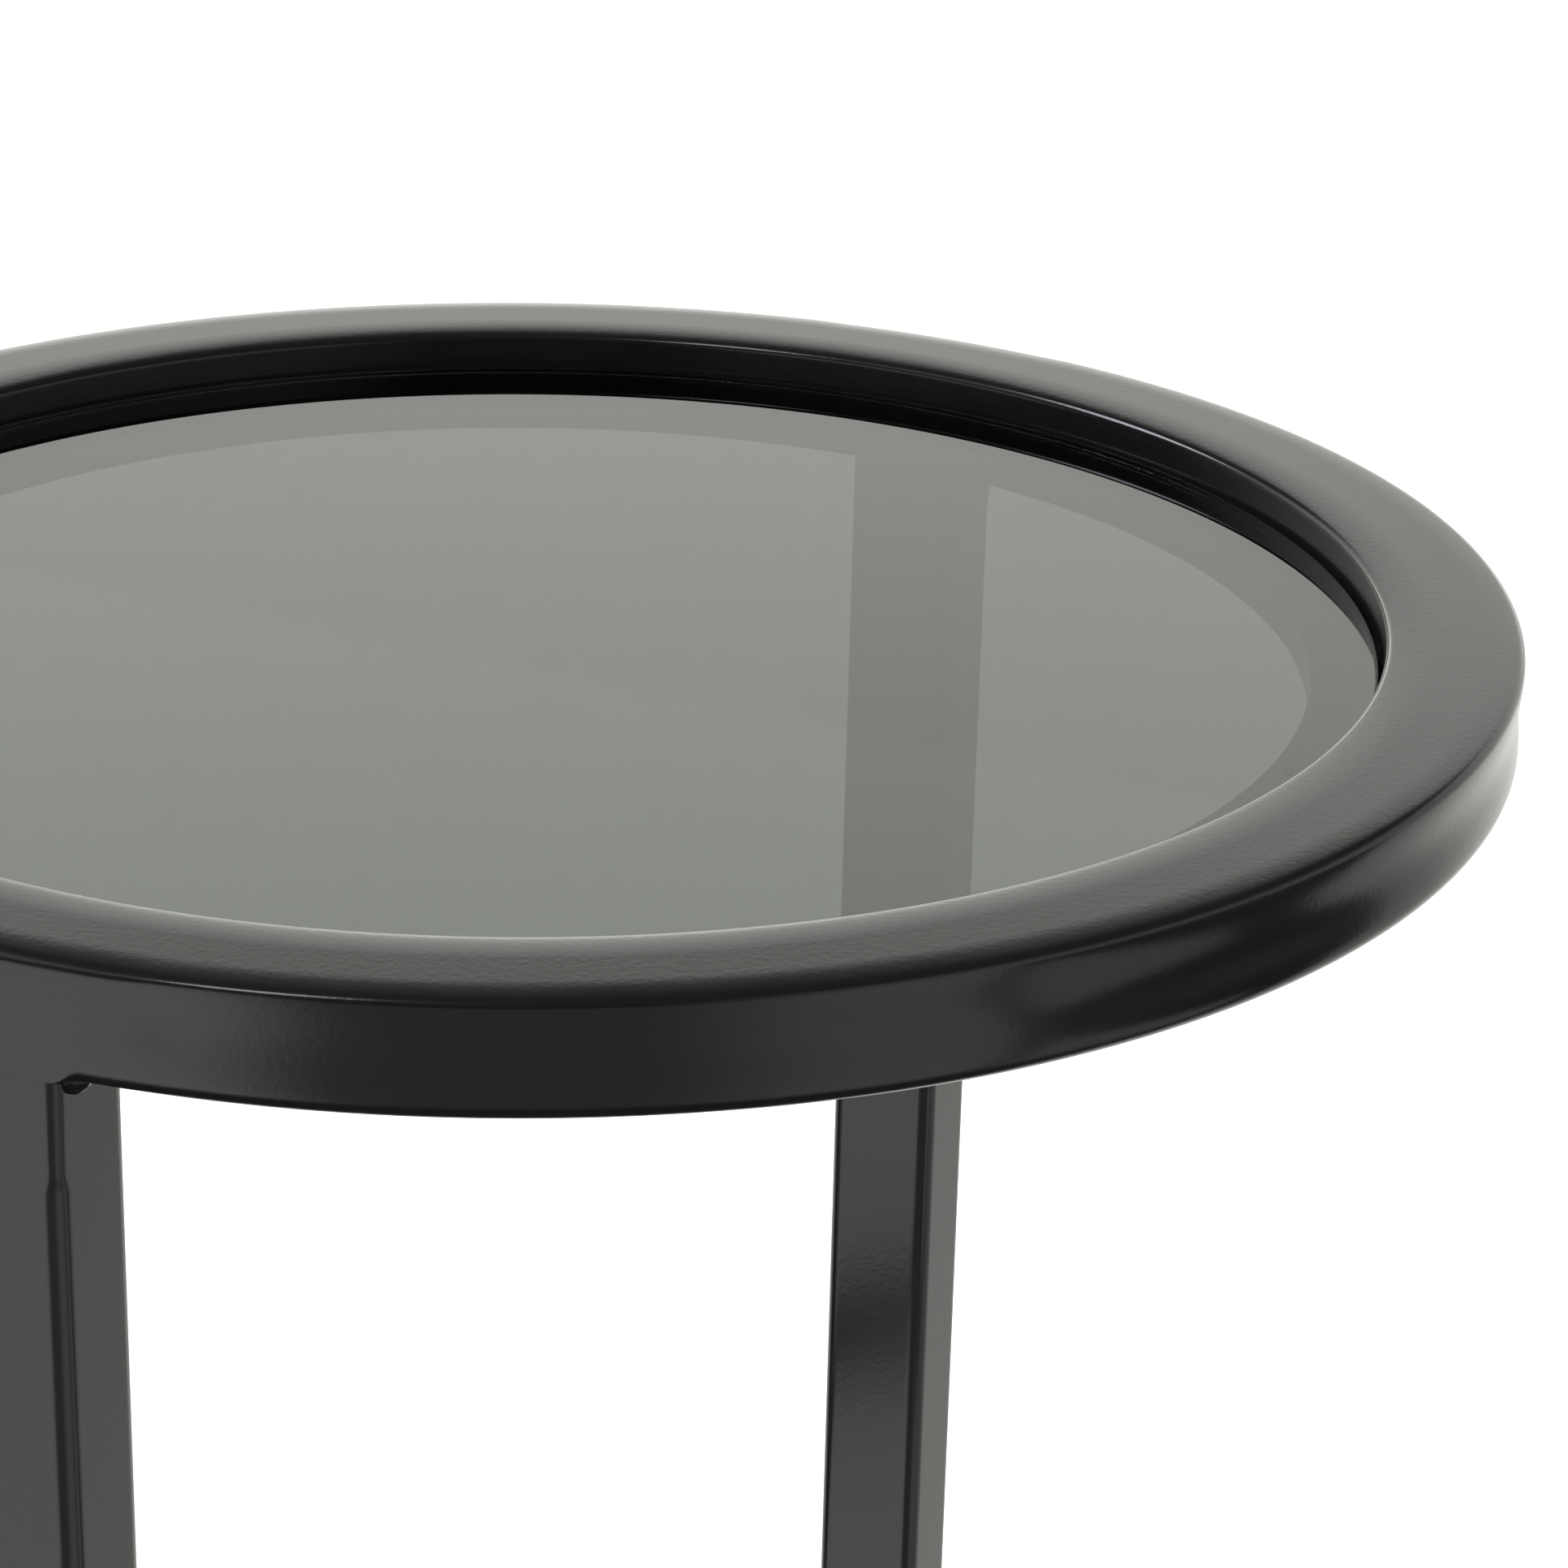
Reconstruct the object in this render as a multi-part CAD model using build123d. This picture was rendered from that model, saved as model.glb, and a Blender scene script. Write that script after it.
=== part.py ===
from build123d import *
import math
import os

# A pair of round nesting tables. Each is a welded frame of black rectangular tube: a bent top ring,
# three legs flush with the ring's outside, and a C-shaped floor ring that is open at the front.
# A ledge ring inside the top ring carries a loose disc of smoked glass. The smaller table slides
# along +Y, through the open front of the larger one, until the two are concentric.
# Lengths are millimetres and angles are degrees. +Z is up, the floor is z = 0, the open fronts
# face -Y, and the origin is on the floor below the centre of the pair as stored, pulled apart.

# Rectangular tube of the rings and legs. Its wide side lies flat in a ring and faces out on a leg.
TUBE_WIDE = 30.0
TUBE_DEEP = 25.0
TUBE_WALL = 1.5
TUBE_CORNER = 4.0
BEND_SAG = 0.6            # bending draws the outer wall of a ring in by this much
BEND_LAND = 4.5           # height of the outer wall, at top and bottom, that stays straight
VENT_RADIUS = 3.0         # hole through a ring's wall into each leg, to drain the coating

# Rectangular tube of the ledge that carries the glass.
LEDGE_WIDTH = 16.0
LEDGE_HEIGHT = 10.0
LEDGE_WALL = 1.2
LEDGE_CORNER = 1.5
LEDGE_VENT_RADIUS = 2.0
TACK_COUNT = 6
TACK_START = 20.0
TACK_LENGTH = 14.0
TACK_REACH = 2.0          # to each side of the top ring's inner wall
TACK_HEIGHT = 2.0

# Glass top, lying on soft pads.
GLASS = 5.0
GLASS_BEVEL = 0.6
GLASS_CLEARANCE = 1.0     # gap all round, between the glass and the top ring
GLASS_RECESS = 9.0        # from the top of the ring down to the glass
PAD_THICKNESS = 1.0
PAD_RADIUS = 4.0
PAD_COUNT = 6
PAD_START = 30.0

# Legs: one at each end of a diameter, just forward of it, and one at the back.
LEG_AZIMUTHS = {"right": -1.6, "left": 181.6, "back": 90.0}
BASE_TOE = 10.0           # how far the floor ring runs on past the front legs

# Welds.
BEAD_RADIUS = 2.5
FILLER_TRIM = 12.0        # degrees of the corner left bare at each feather edge of the filler

# Plugs in the open ends of the floor ring, and glides under it.
PLUG_HEAD = 3.0
PLUG_DEPTH = 14.0
PLUG_GAP = 0.15
GLIDE_RADIUS = 9.0
GLIDE_HEIGHT = 3.0
GLIDE_CHAMFER = 0.8
GLIDE_AZIMUTHS = (-9.0, 40.0, 90.0, 140.0, 189.0)

# The two tables: outer radius of the frame and height to the top of the ring.
LARGE_RADIUS = 220.0
LARGE_HEIGHT = 500.0
SMALL_RADIUS = 180.0
SMALL_HEIGHT = 435.0
NEST_TRAVEL = 500.0       # how far the small table is pulled out, centre to centre

# The origin is midway between the back of the large table and the front of the small one.
LARGE_Y = (NEST_TRAVEL + SMALL_RADIUS - LARGE_RADIUS) / 2
SMALL_Y = LARGE_Y - NEST_TRAVEL


def rounded_section(inner, outer, bottom, top, corner, sag=0.0):
    """Rounded rectangle in the XZ plane, from one radius to another; sag hollows its outer side."""
    low = bottom + BEND_LAND
    high = top - BEND_LAND
    with BuildSketch(Plane.XZ) as section:
        with BuildLine():
            Line((inner, bottom), (outer, bottom))
            if sag:
                Line((outer, bottom), (outer, low))
                ThreePointArc((outer, low), (outer - sag, (low + high) / 2), (outer, high))
                Line((outer, high), (outer, top))
            else:
                Line((outer, bottom), (outer, top))
            Line((outer, top), (inner, top))
            Line((inner, top), (inner, bottom))
        make_face()
        ends = section.vertices().group_by(Axis.Y)
        fillet(ends[0] + ends[-1], corner)
    return section.sketch


def bent_tube(inner, outer, bottom, top, wall, corner, sag=0.0, start=0.0, arc=360.0):
    """Length of rectangular tube bent round the Z axis."""
    skin = rounded_section(inner, outer, bottom, top, corner, sag)
    core = rounded_section(inner + wall, outer - wall, bottom + wall, top - wall, corner - wall, sag)
    section = Rot(0, 0, start) * (skin - core)
    return revolve(section, Axis.Z, revolution_arc=arc)


def at_azimuth(azimuth, shape):
    """A shape made on the +X side, turned about the Z axis."""
    return Rot(0, 0, azimuth) * shape


def vents(radius, heights, size):
    """Vertical drill passes through a ring's wall, one on the centre line of each leg."""
    low, high = heights
    drill = Pos(radius - TUBE_DEEP / 2, 0, (low + high) / 2) * Cylinder(size, high - low)
    return [at_azimuth(azimuth, drill) for azimuth in LEG_AZIMUTHS.values()]


def top_ring(radius, height):
    """Full ring of bent tube that frames the glass."""
    bottom = height - TUBE_DEEP
    ring = bent_tube(radius - TUBE_WIDE, radius, bottom, height, TUBE_WALL, TUBE_CORNER, BEND_SAG)
    return ring - vents(radius, (bottom - TUBE_WALL, bottom + 2 * TUBE_WALL), VENT_RADIUS)


def base_ring(radius):
    """C-shaped ring of bent tube near the floor, open at the front."""
    start = LEG_AZIMUTHS["right"] - BASE_TOE
    arc = LEG_AZIMUTHS["left"] + BASE_TOE - start
    inner = radius - TUBE_WIDE
    top = GLIDE_HEIGHT + TUBE_DEEP
    ring = bent_tube(inner, radius, GLIDE_HEIGHT, top, TUBE_WALL, TUBE_CORNER, BEND_SAG, start, arc)
    return ring - vents(radius, (top - 2 * TUBE_WALL, top + TUBE_WALL), VENT_RADIUS)


def glass_ledge(radius, height):
    """Ring of small rectangular tube, welded inside the top ring to carry the glass."""
    outer = radius - TUBE_WIDE
    top = height - GLASS_RECESS - GLASS - PAD_THICKNESS
    bottom = top - LEDGE_HEIGHT
    ledge = bent_tube(outer - LEDGE_WIDTH, outer, bottom, top, LEDGE_WALL, LEDGE_CORNER)
    drill = Pos(outer - LEDGE_WIDTH / 2, 0, bottom) * Cylinder(LEDGE_VENT_RADIUS, 3 * LEDGE_WALL)
    return ledge - drill


def ledge_welds(radius, height):
    """Tack welds in the groove below the ledge, between it and the top ring."""
    wall = radius - TUBE_WIDE
    bottom = height - TUBE_DEEP
    ledge_top = height - GLASS_RECESS - GLASS - PAD_THICKNESS
    with BuildSketch(Plane.XZ) as groove:
        with Locations((wall, bottom + TACK_HEIGHT / 2)):
            Rectangle(2 * TACK_REACH, TACK_HEIGHT)
    ring = rounded_section(wall, radius, bottom, height, TUBE_CORNER, BEND_SAG)
    ledge = rounded_section(wall - LEDGE_WIDTH, wall, ledge_top - LEDGE_HEIGHT, ledge_top, LEDGE_CORNER)
    section = groove.sketch - ring - ledge
    tack = revolve(section, Axis.Z, revolution_arc=math.degrees(TACK_LENGTH / wall))
    return [at_azimuth(TACK_START + step * 360 / TACK_COUNT, tack) for step in range(TACK_COUNT)]


def glass_top(radius, height):
    """Loose disc of tempered glass with a finely bevelled edge."""
    top = height - GLASS_RECESS
    disc = Pos(0, 0, top - GLASS / 2) * Cylinder(radius - TUBE_WIDE - GLASS_CLEARANCE, GLASS)
    return chamfer(disc.edges(), GLASS_BEVEL)


def glass_pads(radius, height):
    """Clear soft pads stuck to the ledge, so that the glass does not rattle."""
    bottom = height - GLASS_RECESS - GLASS - PAD_THICKNESS
    middle = radius - TUBE_WIDE - LEDGE_WIDTH / 2
    pad = Pos(middle, 0, bottom + PAD_THICKNESS / 2) * Cylinder(PAD_RADIUS, PAD_THICKNESS)
    return [at_azimuth(PAD_START + step * 360 / PAD_COUNT, pad) for step in range(PAD_COUNT)]


def leg(radius, height, azimuth):
    """Straight tube from the floor ring up to the top ring, its wide outer face flush with both."""
    bottom = GLIDE_HEIGHT + TUBE_DEEP
    top = height - TUBE_DEEP
    skin = RectangleRounded(TUBE_DEEP, TUBE_WIDE, TUBE_CORNER)
    core = RectangleRounded(TUBE_DEEP - 2 * TUBE_WALL, TUBE_WIDE - 2 * TUBE_WALL, TUBE_CORNER - TUBE_WALL)
    tube = extrude(skin - core, top - bottom)
    return at_azimuth(azimuth, Pos(radius - TUBE_DEEP / 2, 0, bottom) * tube)


def corner_filler(face, joint, upward):
    """Weld metal that fills a ring's rounded outer corner at a leg and is ground flush with the leg.

    face is the radius of the flush face. joint is the height where leg and ring meet, and upward is
    +1 where the ring is above.
    """
    centre_x = face - TUBE_CORNER
    centre_z = joint + upward * TUBE_CORNER
    points = []
    for angle in (FILLER_TRIM, 45.0, 90.0 - FILLER_TRIM):
        across = TUBE_CORNER * math.cos(math.radians(angle))
        down = TUBE_CORNER * math.sin(math.radians(angle))
        points.append((centre_x + across, centre_z - upward * down))
    with BuildSketch(Plane.XZ) as section:
        with BuildLine():
            Line((points[2][0], joint), (face, joint))
            Line((face, joint), (face, points[0][1]))
            Line((face, points[0][1]), points[0])
            ThreePointArc(points[0], points[1], points[2])
            Line(points[2], (points[2][0], joint))
        make_face()
    arc = math.degrees((TUBE_WIDE - 2 * TUBE_CORNER) / face)
    return at_azimuth(-arc / 2, revolve(section.sketch, Axis.Z, revolution_arc=arc))


def bead(side, upward):
    """Quarter-round bead along X, as long as the flat of a tube's side, on the +Y side of its wall."""
    flat = side - 2 * TUBE_CORNER
    rod = Cylinder(BEAD_RADIUS, flat, rotation=(0, 90, 0))
    corner = Pos(0, BEAD_RADIUS, -upward * BEAD_RADIUS) * Box(flat, 2 * BEAD_RADIUS, 2 * BEAD_RADIUS)
    return rod & corner


def leg_welds(radius, joint, upward):
    """At each leg, a bead along each side face and the inner face, and ground filler outside."""
    side_bead = Pos(radius - TUBE_DEEP / 2, TUBE_WIDE / 2, joint) * bead(TUBE_DEEP, upward)
    inner_bead = Pos(radius - TUBE_DEEP, 0, joint) * Rot(0, 0, 90) * bead(TUBE_WIDE, upward)
    pieces = [
        side_bead,
        mirror(side_bead, Plane.XZ),
        inner_bead,
        corner_filler(radius, joint, upward),
    ]
    return [at_azimuth(azimuth, piece) for azimuth in LEG_AZIMUTHS.values() for piece in pieces]


def base_end_caps(radius):
    """Moulded plugs in the two open ends of the floor ring, curved like the tube they fill."""
    inner = radius - TUBE_WIDE
    inset = TUBE_WALL + PLUG_GAP
    top = GLIDE_HEIGHT + TUBE_DEEP
    head_arc = math.degrees(PLUG_HEAD / (radius - TUBE_WIDE / 2))
    stem_arc = math.degrees(PLUG_DEPTH / (radius - TUBE_WIDE / 2))
    head_face = rounded_section(inner, radius, GLIDE_HEIGHT, top, TUBE_CORNER)
    stem_face = rounded_section(
        inner + inset, radius - inset, GLIDE_HEIGHT + inset, top - inset, TUBE_CORNER - TUBE_WALL, BEND_SAG
    )
    head = at_azimuth(-head_arc, revolve(head_face, Axis.Z, revolution_arc=head_arc))
    plug = head + revolve(stem_face, Axis.Z, revolution_arc=stem_arc)
    right_end = LEG_AZIMUTHS["right"] - BASE_TOE
    left_end = LEG_AZIMUTHS["left"] + BASE_TOE
    return [at_azimuth(right_end, plug), at_azimuth(left_end, mirror(plug, Plane.XZ))]


def floor_glides(radius):
    """Round glides under the floor ring; they are all that touches the floor."""
    disc = Pos(radius - TUBE_WIDE / 2, 0, GLIDE_HEIGHT / 2) * Cylinder(GLIDE_RADIUS, GLIDE_HEIGHT)
    disc = chamfer(disc.edges().group_by(Axis.Z)[0], GLIDE_CHAMFER)
    return [at_azimuth(azimuth, disc) for azimuth in GLIDE_AZIMUTHS]


def table(radius, height):
    """All the pieces of one table, standing on z = 0 round the Z axis."""
    pieces = {
        "top_ring": top_ring(radius, height),
        "glass_ledge": glass_ledge(radius, height),
        "ledge_welds": ledge_welds(radius, height),
        "glass_top": glass_top(radius, height),
        "glass_pads": glass_pads(radius, height),
        "top_welds": leg_welds(radius, height - TUBE_DEEP, 1),
        "base_ring": base_ring(radius),
        "base_welds": leg_welds(radius, GLIDE_HEIGHT + TUBE_DEEP, -1),
        "base_end_caps": base_end_caps(radius),
        "floor_glides": floor_glides(radius),
    }
    for side, azimuth in LEG_AZIMUTHS.items():
        pieces["leg_" + side] = leg(radius, height, azimuth)
    return pieces


def write_table(prefix, radius, height, centre_y):
    """Write each piece of one table, at its place, to a file of its own."""
    for name, piece in table(radius, height).items():
        solids = piece if isinstance(piece, list) else [piece]
        placed = [Pos(0, centre_y, 0) * solid for solid in solids]
        node = placed[0] if len(placed) == 1 else Compound(children=placed)
        export_step(node, os.path.join("parts", prefix + "_" + name + ".step"))


os.makedirs("parts", exist_ok=True)
write_table("large", LARGE_RADIUS, LARGE_HEIGHT, LARGE_Y)
write_table("small", SMALL_RADIUS, SMALL_HEIGHT, SMALL_Y)
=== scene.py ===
import math
import random
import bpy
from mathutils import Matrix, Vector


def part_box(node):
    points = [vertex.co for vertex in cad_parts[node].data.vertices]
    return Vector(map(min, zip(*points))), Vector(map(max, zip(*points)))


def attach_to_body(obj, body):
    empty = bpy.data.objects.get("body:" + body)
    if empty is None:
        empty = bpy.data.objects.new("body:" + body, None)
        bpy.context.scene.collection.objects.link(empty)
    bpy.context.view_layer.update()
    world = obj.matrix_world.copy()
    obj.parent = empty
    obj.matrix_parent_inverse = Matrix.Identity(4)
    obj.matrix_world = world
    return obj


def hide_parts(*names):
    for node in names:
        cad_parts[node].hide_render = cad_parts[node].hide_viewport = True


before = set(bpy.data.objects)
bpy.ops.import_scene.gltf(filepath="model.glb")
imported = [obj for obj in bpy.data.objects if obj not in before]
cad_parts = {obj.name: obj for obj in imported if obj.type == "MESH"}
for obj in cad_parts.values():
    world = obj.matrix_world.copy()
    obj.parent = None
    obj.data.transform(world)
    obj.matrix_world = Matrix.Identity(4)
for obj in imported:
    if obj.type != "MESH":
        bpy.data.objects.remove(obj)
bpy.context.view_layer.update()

from types import SimpleNamespace

import bmesh
import bpy
from mathutils import Matrix, Vector, noise

# Two round nesting tables in satin black powder-coated tube, with drop-in smoked glass.
# Lengths are metres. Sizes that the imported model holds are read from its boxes; the rest are below.
MM = 0.001

# Tube and ledge.
TUBE_CORNER = 4.0 * MM          # outside corner radius of the tube
BEND_SAG = 0.6 * MM             # the outer wall of a bent tube is drawn in by this much
LEDGE_CORNER = 1.5 * MM

# Bending arches the ring's upper wall a little towards both corners and tightens them: corner
# radius, width of the arch, and its slope in degrees where it meets the corner.
CROWN_OUTER = (1.9 * MM, 6.5 * MM, 5.0)
CROWN_INNER = (1.8 * MM, 10.0 * MM, 7.0)

# Where a leg is ground flush with a ring, the corners of both are ground away.
GROUND_CORNER = 2.7 * MM
GROUND_HEIGHT = 21.0 * MM       # up or down a leg from the joint
GROUND_FADE = 5.0 * MM          # the height over which the grinding runs out
SQUARE_CORNER = 0.1 * MM        # the ring's own corner inside the joint
JOINT_BLEND = 22.0 * MM         # over this height the flat leg takes up the ring's curve
JOINT_REACH = 1.0 * MM          # the leg's skin runs this far into the ring
JOINT_DIP = 0.12 * MM           # and ends this deep below the ring's face
GROUND_ARC = 3.6                # along the ring, degrees each side of a leg's centre line
GROUND_ARC_FADE = 1.6
DRESSED_CORNER = 2.6 * MM       # the ring's upper edge above a leg, rounded over by the grinder
DRESSED_ARC = 6.5
DRESSED_ARC_FADE = 3.5
DRESSED_SAG = 0.1               # share of the bend's sag left where the ring is dressed

# Mesh fineness.
CORNER_STEPS = 8
ARCH_STEPS = 6
WALL_STEPS = 14
BLEND_STEPS = 12
FADE_STEPS = 8
GROUND_STEPS = 24
EDGE_LOOP = 0.35 * MM           # keeps the shading of a flat wall flat, right up to its corner
RING_STEPS = 480
DISC_STEPS = 256
HARD_EDGE = math.radians(40.0)  # a turn sharper than this is shaded as an edge

# Sockets of a Mix node set to colour, whose names are shared with its other kinds.
MIX_A = 6
MIX_B = 7
MIX_RESULT = 2


# ---------------------------------------------------------------- small helpers

def colour(code, alpha=1.0):
    """Linear RGBA from an sRGB hex code."""
    channels = [int(code[i:i + 2], 16) / 255 for i in (1, 3, 5)]
    linear = [c / 12.92 if c <= 0.04045 else ((c + 0.055) / 1.055) ** 2.4 for c in channels]
    return (*linear, alpha)


def add_node(tree, kind, inputs=None, **settings):
    """A node with its settings; each of inputs is a value, or an output socket to link from."""
    made = tree.nodes.new(kind)
    for name, value in settings.items():
        setattr(made, name, value)
    for name, value in (inputs or {}).items():
        if isinstance(value, bpy.types.NodeSocket):
            tree.links.new(value, made.inputs[name])
        else:
            made.inputs[name].default_value = value
    return made


def smooth(value, low, high):
    """0 at low, 1 at high, with level ends."""
    t = min(max((value - low) / (high - low), 0.0), 1.0)
    return t * t * (3 - 2 * t)


def mix(first, second, share):
    return first + (second - first) * share


def turned(azimuth):
    """Unit vector at an azimuth in degrees, in the floor plane."""
    return Vector((math.cos(math.radians(azimuth)), math.sin(math.radians(azimuth)), 0.0))


def apart(first, second):
    """Degrees between two azimuths."""
    return abs((first - second + 180.0) % 360.0 - 180.0)


def finish_mesh(name, mesh, material):
    """Object at the origin from a bmesh, smooth shaded between its hard edges, normals outwards."""
    bmesh.ops.recalc_face_normals(mesh, faces=mesh.faces)
    for face in mesh.faces:
        face.smooth = True
    for edge in mesh.edges:
        edge.smooth = edge.calc_face_angle(0.0) < HARD_EDGE
    data = bpy.data.meshes.new(name)
    mesh.to_mesh(data)
    mesh.free()
    data.materials.append(material)
    piece = bpy.data.objects.new(name, data)
    bpy.context.scene.collection.objects.link(piece)
    return piece


def attach(piece, body, slot, *nodes):
    """The piece rides on a body and stands for CAD nodes, which it hides. slot is not used."""
    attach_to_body(piece, body)
    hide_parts(*nodes)


# ---------------------------------------------------------------- materials

def new_material(name):
    material = bpy.data.materials.new(name)
    material.use_nodes = True
    tree = material.node_tree
    tree.nodes.clear()
    place = add_node(tree, "ShaderNodeTexCoord")
    return material, tree, place.outputs["Object"]


def powder_coat():
    """Satin black polyester powder, sprayed on and baked over welded steel.

    The melted powder flows into a soft orange peel a millimetre or two across, over a finer tooth
    that spreads reflections into a satin; a film a little thicker here than there shows as slow
    changes in gloss.
    """
    material, tree, place = new_material("satin_black_powder_coat")
    peel = add_node(tree, "ShaderNodeTexNoise", {"Vector": place, "Scale": 620.0, "Detail": 1.5})
    tooth = add_node(tree, "ShaderNodeTexNoise", {"Vector": place, "Scale": 2600.0, "Detail": 1.0})
    film = add_node(tree, "ShaderNodeTexNoise", {"Vector": place, "Scale": 14.0, "Detail": 3.0})
    gloss = add_node(tree, "ShaderNodeMapRange", {"Value": film.outputs["Fac"], "From Min": 0.3,
                     "From Max": 0.7, "To Min": 0.15, "To Max": 0.2})
    tint = add_node(tree, "ShaderNodeMix", {"Factor": film.outputs["Fac"], MIX_A: colour("#0e0e0f"),
                    MIX_B: colour("#141413")}, data_type="RGBA")
    fine = add_node(tree, "ShaderNodeBump", {"Height": tooth.outputs["Fac"], "Strength": 0.5,
                    "Distance": 0.02 * MM})
    bump = add_node(tree, "ShaderNodeBump", {"Height": peel.outputs["Fac"], "Strength": 0.5,
                    "Distance": 0.04 * MM, "Normal": fine.outputs["Normal"]})
    shader = add_node(tree, "ShaderNodeBsdfPrincipled", {"Base Color": tint.outputs[MIX_RESULT],
                      "Roughness": gloss.outputs["Result"], "Normal": bump.outputs["Normal"],
                      "IOR": 1.44})
    add_node(tree, "ShaderNodeOutputMaterial", {"Surface": shader.outputs["BSDF"]})
    return material


def smoked_glass():
    """Grey body-tinted float glass, tempered and polished.

    Nearly all the light seen in it is the mirror reflection of the room; the tint lets through
    about a twentieth, a touch greener than neutral. Wiping leaves faint streaks in the gloss.
    """
    material, tree, place = new_material("grey_smoked_float_glass")
    stretched = add_node(tree, "ShaderNodeMapping", {"Vector": place, "Scale": (3.0, 14.0, 3.0)})
    wipe = add_node(tree, "ShaderNodeTexNoise", {"Vector": stretched.outputs["Vector"], "Scale": 2.0,
                    "Detail": 4.0})
    gloss = add_node(tree, "ShaderNodeMapRange", {"Value": wipe.outputs["Fac"], "From Min": 0.35,
                     "From Max": 0.75, "To Min": 0.0, "To Max": 0.012})
    shader = add_node(tree, "ShaderNodeBsdfPrincipled", {"Base Color": colour("#3a3f3b"),
                      "Roughness": gloss.outputs["Result"], "IOR": 1.52,
                      "Transmission Weight": 1.0})
    add_node(tree, "ShaderNodeOutputMaterial", {"Surface": shader.outputs["BSDF"]})
    return material


def clear_silicone():
    """Cast clear silicone bumper: soft, slightly milky, with a dull skin."""
    material, tree, place = new_material("clear_silicone")
    skin = add_node(tree, "ShaderNodeTexNoise", {"Vector": place, "Scale": 900.0})
    bump = add_node(tree, "ShaderNodeBump", {"Height": skin.outputs["Fac"], "Strength": 0.3,
                    "Distance": 0.02 * MM})
    shader = add_node(tree, "ShaderNodeBsdfPrincipled", {"Base Color": colour("#dcdcd6"),
                      "Roughness": 0.35, "IOR": 1.41, "Transmission Weight": 0.8,
                      "Normal": bump.outputs["Normal"]})
    add_node(tree, "ShaderNodeOutputMaterial", {"Surface": shader.outputs["BSDF"]})
    return material


def moulded_plastic(name, code, grain, depth, rough, wear_spread=0.08):
    """Black moulded plastic: the mould's spark-eroded grain gives an even, dull sparkle.

    Handling wears its gloss up and down by wear_spread either side of rough.
    """
    material, tree, place = new_material(name)
    pits = add_node(tree, "ShaderNodeTexVoronoi", {"Vector": place, "Scale": 1 / grain})
    bump = add_node(tree, "ShaderNodeBump", {"Height": pits.outputs["Distance"], "Strength": 0.5,
                    "Distance": depth})
    wear = add_node(tree, "ShaderNodeTexNoise", {"Vector": place, "Scale": 90.0, "Detail": 3.0})
    gloss = add_node(tree, "ShaderNodeMapRange", {"Value": wear.outputs["Fac"],
                     "To Min": rough - wear_spread, "To Max": rough + wear_spread})
    shader = add_node(tree, "ShaderNodeBsdfPrincipled", {"Base Color": colour(code),
                      "Roughness": gloss.outputs["Result"], "IOR": 1.49,
                      "Normal": bump.outputs["Normal"]})
    add_node(tree, "ShaderNodeOutputMaterial", {"Surface": shader.outputs["BSDF"]})
    return material


POWDER_COAT = powder_coat()
SMOKED_GLASS = smoked_glass()
SILICONE = clear_silicone()
PLUG_PLASTIC = moulded_plastic("black_moulded_polypropylene", "#161616", 0.5 * MM, 0.03 * MM, 0.5)
GLIDE_PLASTIC = moulded_plastic("black_nylon", "#1d1d1e", 0.8 * MM, 0.02 * MM, 0.42)


# ---------------------------------------------------------------- bent and straight tube

def corner_offsets(radius, arch, tilt):
    """(in from the side wall, down from the flat one) round a corner, from the wall to the flat.

    arch is the width of a faint arch between the round corner and the flat, and tilt its slope in
    degrees where the two meet.
    """
    lean = math.radians(tilt)
    arch_drop = arch * math.tan(lean / 2)
    offsets = []
    for step in range(CORNER_STEPS + 1):
        slope = mix(math.pi / 2, lean, step / CORNER_STEPS)
        offsets.append((radius * (1.0 - math.sin(slope)),
                        arch_drop + radius * (math.cos(lean) - math.cos(slope))))
    if arch > 0.0:
        for step in range(1, ARCH_STEPS + 1):
            slope = lean * (1.0 - step / ARCH_STEPS)
            share = math.sin(slope) / math.sin(lean)
            offsets.append((radius * (1.0 - math.sin(lean)) + arch * (1.0 - share),
                            arch * (1.0 - math.cos(slope)) / math.sin(lean)))
    return offsets


def even(radius):
    """A plain round corner, as corner_offsets takes it."""
    return (radius, 0.0, 0.0)


def tube_outline(width, height, corners, sag=0.0):
    """Outline of a rectangular tube as (outward, up) offsets from its centre.

    corners are what corner_offsets takes, for the lower outer, upper outer, upper inner and lower
    inner corners. sag hollows the outer wall, as bending does.
    """
    signs = ((1, -1), (1, 1), (-1, 1), (-1, -1))
    arcs = []
    for number, ((across, up), corner) in enumerate(zip(signs, corners)):
        arc = [(across * (width / 2 - inset), up * (height / 2 - drop))
               for inset, drop in corner_offsets(*corner)]
        arcs.append(arc if number % 2 else arc[::-1])
    outline = list(arcs[0])
    low, high = arcs[0][-1][1], arcs[1][0][1]
    for step in range(1, WALL_STEPS):
        share = step / WALL_STEPS
        hollow = sag * math.sin(math.pi * share) ** 2
        outline.append((width / 2 - hollow, mix(low, high, share)))
    for number in (1, 2, 3):
        outline += arcs[number]
        start = Vector(arcs[number][-1])
        end = Vector(arcs[(number + 1) % 4][0])
        along = (end - start).normalized() * EDGE_LOOP
        outline += [tuple(start + along), tuple(end - along)]
    return outline


def sweep(stations, capped=True, mesh=None):
    """bmesh skin over a row of outlines, each a list of points; added to mesh if one is given."""
    if mesh is None:
        mesh = bmesh.new()
    rows = [[mesh.verts.new(point) for point in station] for station in stations]
    count = len(rows[0])
    for first, second in zip(rows, rows[1:]):
        for i in range(count):
            j = (i + 1) % count
            mesh.faces.new((first[i], first[j], second[j], second[i]))
    if capped:
        mesh.faces.new(rows[0])
        mesh.faces.new(rows[-1])
    return mesh


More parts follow.
